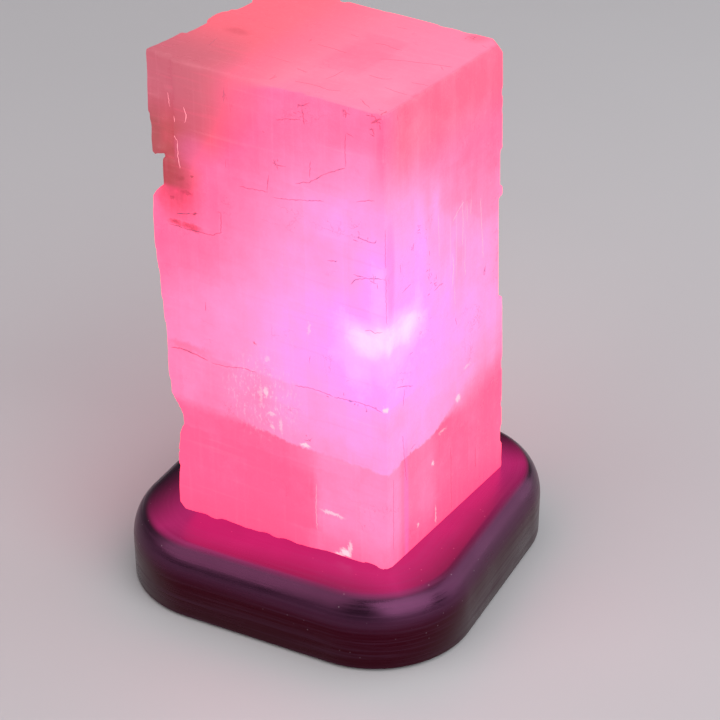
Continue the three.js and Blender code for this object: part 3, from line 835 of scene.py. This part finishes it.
def layLines(name, lines, seed):
    # every line becomes a thin closed ridge that lies on the stone and dips under its skin
    rng = np.random.default_rng(seed)
    skin = BVHTree.FromPolygons([v.co for v in calciteStone.data.vertices],
                                [tuple(p.vertices) for p in calciteStone.data.polygons])
    shape = lineShape
    above = shape["above"] * mm
    vertices = []
    faces = []
    for face, width, points in lines:
        first, second, inward, start = faceFrames[face]
        stations = []
        for (a, b), (c, d) in zip(points, points[1:]):
            pieces = max(2, int(math.hypot(c - a, d - b) / shape["spacing"]))
            stations += [(a + (c - a) * n / pieces, b + (d - b) * n / pieces) for n in range(pieces)]
        stations.append(points[-1])
        path = []
        for a, b in stations:
            jitter = rng.uniform(-shape["jitter"], shape["jitter"], 2)
            outside = stone["corner"] + start + first * (a + jitter[0]) + second * (b + jitter[1])
            hit = skin.ray_cast(outside * mm - inward * above, inward, above + shape["below"] * mm)[0]
            if hit is not None:
                path.append(hit)
        if len(path) < 3:
            continue
        base = len(vertices)
        for n, spot in enumerate(path):
            ahead = path[min(n + 1, len(path) - 1)] - path[max(n - 1, 0)]
            across = ahead.cross(inward).normalized()
            taper = min(1, (n + 0.3) / 2, (len(path) - n - 0.7) / 2)
            half = width * shape["halfShare"] * mm * taper * rng.uniform(0.6, 1.35)
            raised = spot - inward * shape["raised"] * mm
            vertices += [raised + across * half, spot - inward * shape["ridge"] * mm,
                         raised - across * half, spot + inward * shape["root"] * mm]
        for here in range(base, len(vertices) - 4, 4):
            for side in range(4):
                other = (side + 1) % 4
                faces.append((here + side, here + other, here + 4 + other, here + 4 + side))
        faces.append((base + 3, base + 2, base + 1, base))
        faces.append(tuple(range(len(vertices) - 4, len(vertices))))
    made = addMesh(name, vertices, faces)
    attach(made, "root")
    return made


# random fractures: face, how many, the longest run, and the two spans, in mm
strays = [
    ("farLeft", 16, 6, 4, 44, 4, 92), ("back", 16, 6, 6, 48, 4, 92),
    ("left", 8, 2, 4, 46, 4, 60), ("right", 7, 2.5, 4, 42, 3, 90),
    ("top", 9, 3, 4, 50, 4, 45),
    # small tangles
    ("left", 7, 0.7, 17.2, 19.6, 2.4, 6.2), ("left", 5, 0.7, 7.8, 9.4, 0.8, 2.6),
    ("left", 6, 0.7, 0.4, 2.8, 0.4, 2.4), ("left", 4, 0.7, 1.8, 2.9, 3, 4.6),
    ("top", 5, 0.7, 0.3, 1.8, 0.4, 2.6), ("left", 5, 0.7, 24, 26, 14.8, 16.8),
    ("left", 5, 0.7, 3.6, 6.4, 26, 27.4), ("left", 5, 0.7, 1.6, 4.2, 33.6, 35.6),
    ("right", 5, 0.7, 12.6, 14.2, 26.8, 29), ("right", 4, 0.7, 10.2, 11.4, 30.2, 32),
    ("right", 5, 0.7, 16.4, 18.2, 38.4, 41), ("left", 4, 0.7, 35.6, 36.8, 3.4, 6),
    ("right", 4, 0.7, 18.6, 20, 41.6, 43.4), ("left", 4, 0.7, 17.6, 19.2, 72.6, 74.2),
    ("left", 8, 0.7, 2, 16, 60.6, 62.6), ("top", 4, 0.7, 5, 8, 45.4, 47.4),
    ("right", 6, 0.7, 14, 20, 34, 44),
]
lineRng = np.random.default_rng(29)
for stray in strays:
    crackLines += strayLines(lineRng, *stray)
wideFrom = 0.25  # mm; narrower cracks are hairlines, which need some width to show at all
wideCracks = [line for line in crackLines if line[1] >= wideFrom]
hairlines = [(face, 0.11 + 0.6 * width, points) for face, width, points in crackLines if width < wideFrom]
for lineName, laid, seed, paintName, tone in (
        ("calcite_cracks", wideCracks, 3, "crackedCalcite", "crack"),
        ("calcite_hairlines", hairlines, 4, "hairlineCalcite", "hairline"),
        ("calcite_pale_lines", paleLines, 5, "paleCalcite", "pale")):
    layLines(lineName, laid, seed).data.materials.append(stoneMaterial(paintName, tone))
print("cracks and pale lines are laid in")


# the stand's shell, in mm
shell = {
    "half": 40.5, "corner": 22.8, "height": 17.5,
    "rimReach": 5, "rimDrop": 7.8,  # how far the soft rim runs in and down
    "wall": 2.2, "topThickness": 3.2, "clearance": 0.6,
    "recess": 16, "ledge": 13.6, "ledgeTop": 15.2,
    "slotHalfWidth": 4.75, "slotHalfHeight": 1.9, "slotMiddle": 8.1,  # for the power inlet, at +Y
    "slotIn": 6, "slotOut": 1,  # how far the cut runs in and out of the wall's outside
    "arcSteps": 40, "rimSteps": 20, "slotSteps": 32, "sharpFrom": 35,
}


def levelRing(half, corner, height):
    ring = []
    steps = shell["arcSteps"]
    for quarter in range(4):
        middle = (quarter + 0.5) * math.pi / 2
        centreX = math.copysign(half - corner, math.cos(middle))
        centreY = math.copysign(half - corner, math.sin(middle))
        for step in range(steps + 1):
            angle = (quarter + step / steps) * math.pi / 2
            ring.append((centreX + corner * math.cos(angle), centreY + corner * math.sin(angle), height))
    return ring


def loftRings(rings, closed):
    count = len(rings[0])
    faces = []
    for row in range(len(rings) if closed else len(rings) - 1):
        nextRow = (row + 1) % len(rings)
        for i in range(count):
            j = (i + 1) % count
            faces.append((row * count + i, row * count + j, nextRow * count + j, nextRow * count + i))
    points = [tuple(c * mm for c in point) for ring in rings for point in ring]
    return points, faces


def makeShell():
    s = shell

    def standRing(inset, height):
        return levelRing(s["half"] - inset, s["corner"] - inset, height)

    def rimRings(inset, top, drop):
        made = []
        for step in range(s["rimSteps"] + 1):
            angle = step / s["rimSteps"] * math.pi / 2
            reach = inset + s["rimReach"] * (1 - math.cos(angle))
            made.append(standRing(reach, top - drop * (1 - math.sin(angle))))
        return made

    ceiling = s["height"] - s["topThickness"]
    rings = [standRing(inset, s["clearance"] + up) for inset, up in ((0.35, 0), (0.1, 0.1), (0, 0.35))]
    rings += rimRings(0, s["height"], s["rimDrop"])
    rings += [standRing(s["rimReach"] + 3, s["height"])]
    rings += [levelRing(radius, radius, height) for radius, height in (
        (s["recess"] + 0.2, s["height"]), (s["recess"], s["height"] - 0.2), (s["recess"], s["ledgeTop"]),
        (s["ledge"], s["ledgeTop"]), (s["ledge"], ceiling))]
    rings += rimRings(s["wall"], ceiling, s["rimDrop"] - s["wall"])[::-1]
    rings += [standRing(s["wall"], s["clearance"])]
    points, faces = loftRings(rings, closed=True)
    made = addMesh("stand_shell", points, faces)
    closeUp(made)
    cutOut(made, slotShape())
    made.data.set_sharp_from_angle(angle=math.radians(s["sharpFrom"]))
    return made


def slotShape():
    s = shell
    endRadius = s["slotHalfHeight"]
    straight = s["slotHalfWidth"] - endRadius
    outline = []
    for step in range(s["slotSteps"]):
        angle = (step + 0.5) / s["slotSteps"] * 2 * math.pi
        outline.append((math.copysign(straight, math.cos(angle)) + endRadius * math.cos(angle),
                        s["slotMiddle"] + endRadius * math.sin(angle)))
    ends = (s["half"] - s["slotIn"], s["half"] + s["slotOut"])
    rings = [[(x, y, z) for x, z in outline] for y in ends]
    points, faces = loftRings(rings, closed=False)
    count = len(outline)
    faces.append(tuple(range(count))[::-1])
    faces.append(tuple(range(count, 2 * count)))
    made = addMesh("slot", points, faces)
    closeUp(made)
    return made


def closeUp(piece):
    # joins doubled points and turns every face outwards
    work = bmesh.new()
    work.from_mesh(piece.data)
    bmesh.ops.remove_doubles(work, verts=work.verts, dist=1e-7)
    bmesh.ops.recalc_face_normals(work, faces=work.faces)
    work.to_mesh(piece.data)
    work.free()


def cutOut(piece, cutter):
    cut = piece.modifiers.new("cut", "BOOLEAN")
    cut.operation = "DIFFERENCE"
    cut.solver = "EXACT"
    cut.object = cutter
    graph = bpy.context.evaluated_depsgraph_get()
    result = bpy.data.meshes.new_from_object(piece.evaluated_get(graph))
    piece.modifiers.clear()
    piece.data = result
    bpy.data.objects.remove(cutter)


shellLook = {
    # a wine-black lacquer: what it mirrors comes back red. The rim gets a brighter copy of it than the
    # side: a painted highlight along the rim and painted shade down the side
    "rim": (0.1, 0.029, 0.07), "side": (0.058, 0.004, 0.013),
    "rubbed": (0.13, 0.05, 0.1), "dust": (0.5, 0.35, 0.42),
    "metallic": 1, "roughness": 0.27,
    "spill": (0.45, 0.012, 0.125),  # light that leaks out around the stone's foot
    "spillReach": 15,
    "footLeft": 50,  # how far the stone's foot runs to the left, mm
}


def shellMaterial():
    look = shellLook
    s = Wiring("polishedBlack")
    inMm = s.placeInMm()
    x, y, z = (s.node("SeparateXYZ", axis, {"Vector": inMm}) for axis in "XYZ")
    # how far a point is out towards the border, so that polishing marks can follow the rim
    straight = shell["half"] - shell["corner"]
    outX = s.math("MAXIMUM", s.math("ABSOLUTE", x) - straight, 0)
    outY = s.math("MAXIMUM", s.math("ABSOLUTE", y) - straight, 0)
    ring = s.math("SQRT", outX * outX + outY * outY) - z
    around = s.node("CombineXYZ", 0, {"X": ring * 1.3, "Y": x * 0.03, "Z": y * 0.03})
    rubs = s.noise(around, 1, 5, 0.65)
    crossRubs = s.noise(s.stretch(inMm, 0.5, 0.02, 0.9), 1, 5)
    smear = s.noise(inMm, 0.05)
    streaks = s.math("MAXIMUM", s.step(rubs, 0.42, 0.7), s.step(crossRubs, 0.55, 0.8, 0, 0.5))
    rough = look["roughness"] + streaks * 0.16 + s.step(smear, 0.35, 0.7, -0.04, 0.08)
    dustDots = s.node("TexVoronoi", "Distance", {"Vector": inMm, "Scale": 0.42}, feature="F1")
    dust = s.step(dustDots, 0.04, 0.09, 1, 0) * s.step(smear, 0.48, 0.62)
    # painted light: the brighter lacquer on the rim and the darker one on the side, split by height
    colour = s.blend(s.step(z, 9, 14), look["side"], look["rim"])
    colour = s.blend(streaks * 0.3, colour, look["rubbed"])
    colour = s.blend(dust * 0.45, colour, look["dust"])
    # light spilt on the flat top, fading away from the stone's foot
    u, v, w = cleavageCoordinates(s)
    beyond = s.math("MAXIMUM", s.math("MAXIMUM", u * -1, u - look["footLeft"]),
                    s.math("MAXIMUM", v * -1, v - stone["rightLength"]))
    spill = s.step(beyond, 0, look["spillReach"], 1, 0)
    spill = spill * s.step(z, 16.6, 17.45) * s.step(smear, 0.3, 0.7, 1, 0.86)
    relief = s.bump(s.noise(inMm, 0.12, 2), 0.1, 0.3 * mm)
    relief = s.bump(rubs, 0.12, 0.12 * mm, relief)
    relief = s.bump(dust, 0.3, 0.03 * mm, relief)
    return s.finish({
        "Base Color": colour, "Roughness": rough, "Normal": relief, "Metallic": look["metallic"],
        "Emission Color": s.blend(spill, (0, 0, 0), look["spill"]), "Emission Strength": 1,
    })


standShell = makeShell()
standShell.data.materials.append(shellMaterial())
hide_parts("stand_housing")
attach(standShell, "root")
print("the stand's shell is made")


def plainPaint(name, dark, light, grain, roughness, metallic=0, relief=0.1):
    s = Wiring(name)
    inMm = s.placeInMm()
    cloud = s.noise(inMm, grain, 5)
    fine = s.noise(inMm, grain * 8)
    rough = s.step(cloud, 0.3, 0.7, roughness - 0.08, roughness + 0.1)
    return s.finish({"Base Color": s.blend(cloud, dark, light), "Roughness": rough, "Metallic": metallic,
                     "Normal": s.bump(fine, relief, 0.1 * mm)})


def lampGlass():
    s = Wiring("diodeResin")
    swirl = s.noise(s.placeInMm(), 0.6, 2)
    return s.finish({"Base Color": s.blend(swirl, (0.9, 0.55, 0.75), (1, 0.8, 0.92)), "Roughness": 0.15,
                     "Emission Color": (1, 0.45, 0.85), "Emission Strength": 3})


# by the start of the node's name
finishes = {
    "light_window": plainPaint("frostedDiffuser", (0.8, 0.74, 0.78), (0.9, 0.86, 0.88), 0.2, 0.5),
    "bottom_plate": plainPaint("mouldedPlate", (0.016, 0.016, 0.018), (0.03, 0.03, 0.032), 0.9, 0.62,
                               relief=0.3),
    "grip_pad": plainPaint("padRubber", (0.014, 0.014, 0.014), (0.032, 0.031, 0.031), 0.6, 0.88,
                           relief=0.4),
    "led_board": plainPaint("solderMask", (0.7, 0.71, 0.68), (0.82, 0.83, 0.8), 0.3, 0.45),
    "led_": lampGlass(),
    "power_inlet": plainPaint("nickel", (0.5, 0.5, 0.52), (0.68, 0.68, 0.7), 1.2, 0.3, metallic=1),
    "plate_screw": plainPaint("screwSteel", (0.42, 0.42, 0.44), (0.62, 0.62, 0.63), 1.5, 0.32, metallic=1),
}
for nodeName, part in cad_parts.items():
    for start, paint in finishes.items():
        if nodeName.startswith(start):
            part.data.materials.clear()
            part.data.materials.append(paint)
            break
print("the small pieces are finished")
